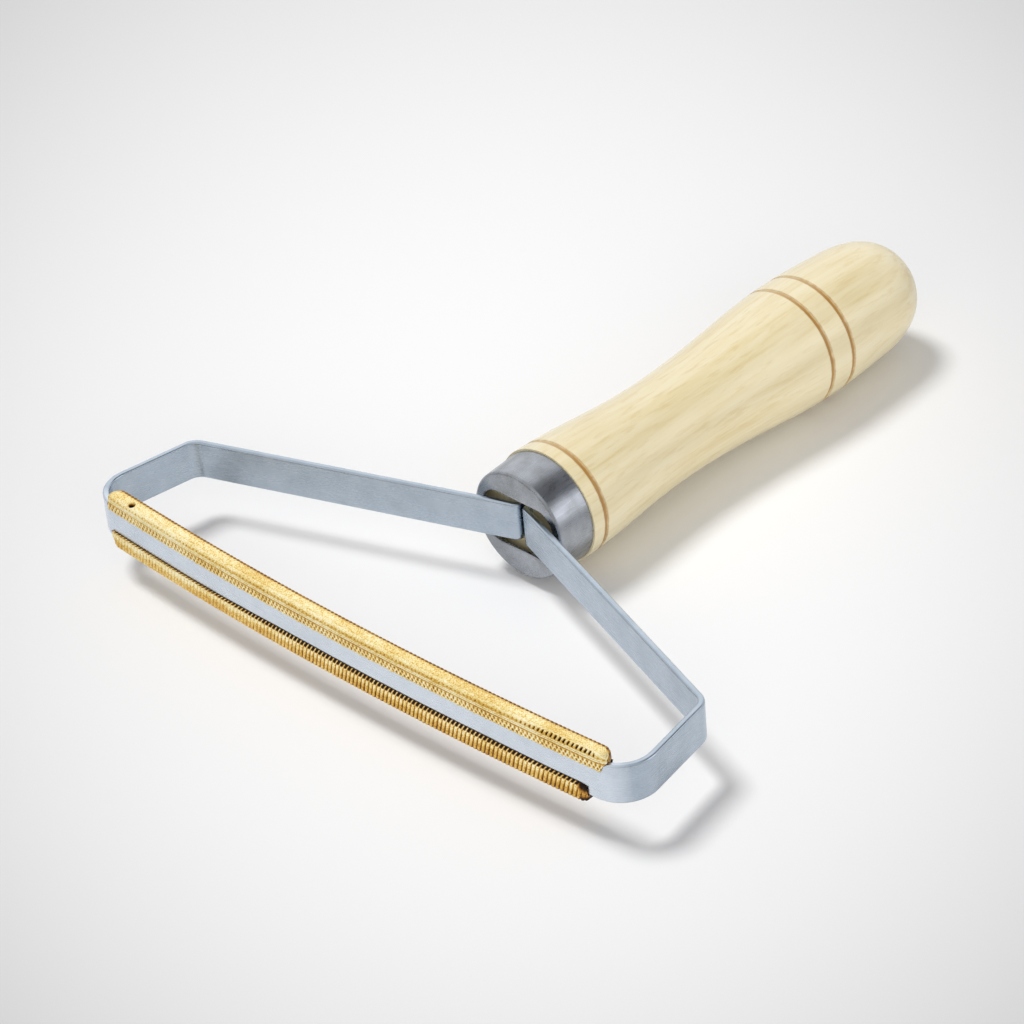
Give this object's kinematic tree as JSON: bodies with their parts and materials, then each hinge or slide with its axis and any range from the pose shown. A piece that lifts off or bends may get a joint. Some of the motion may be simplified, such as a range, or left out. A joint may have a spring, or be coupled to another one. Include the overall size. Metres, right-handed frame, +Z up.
{
  "type": "hand lint comb",
  "caption": "Hand lint comb: a bent flat steel strip frame with ribbed brass combs on both edges of its bowed front bar, held in a steel ferrule on a turned wooden handle.",
  "frame": {"origin": "centre of the bounding box's bottom face, under the handle's axis, with the handle's bulge standing on Z = 0", "axes": "+Y along the handle from the combed front bar to the butt, +X along the front bar, +Z up, square to the frame's plane"},
  "size_m": [0.168, 0.1934, 0.0312],
  "materials": {
    "wood": "clear satin lacquer on pale turned wood",
    "ferrule_steel": "satin",
    "strip_steel": "zinc-plated, satin",
    "brass": "bright pressed brass"
  },
  "bodies": {
    "root": {"handle": "wood", "ferrule": "ferrule_steel", "frame_strip": "strip_steel", "upper_comb": "brass", "lower_comb": "brass"}
  },
  "joints": []
}
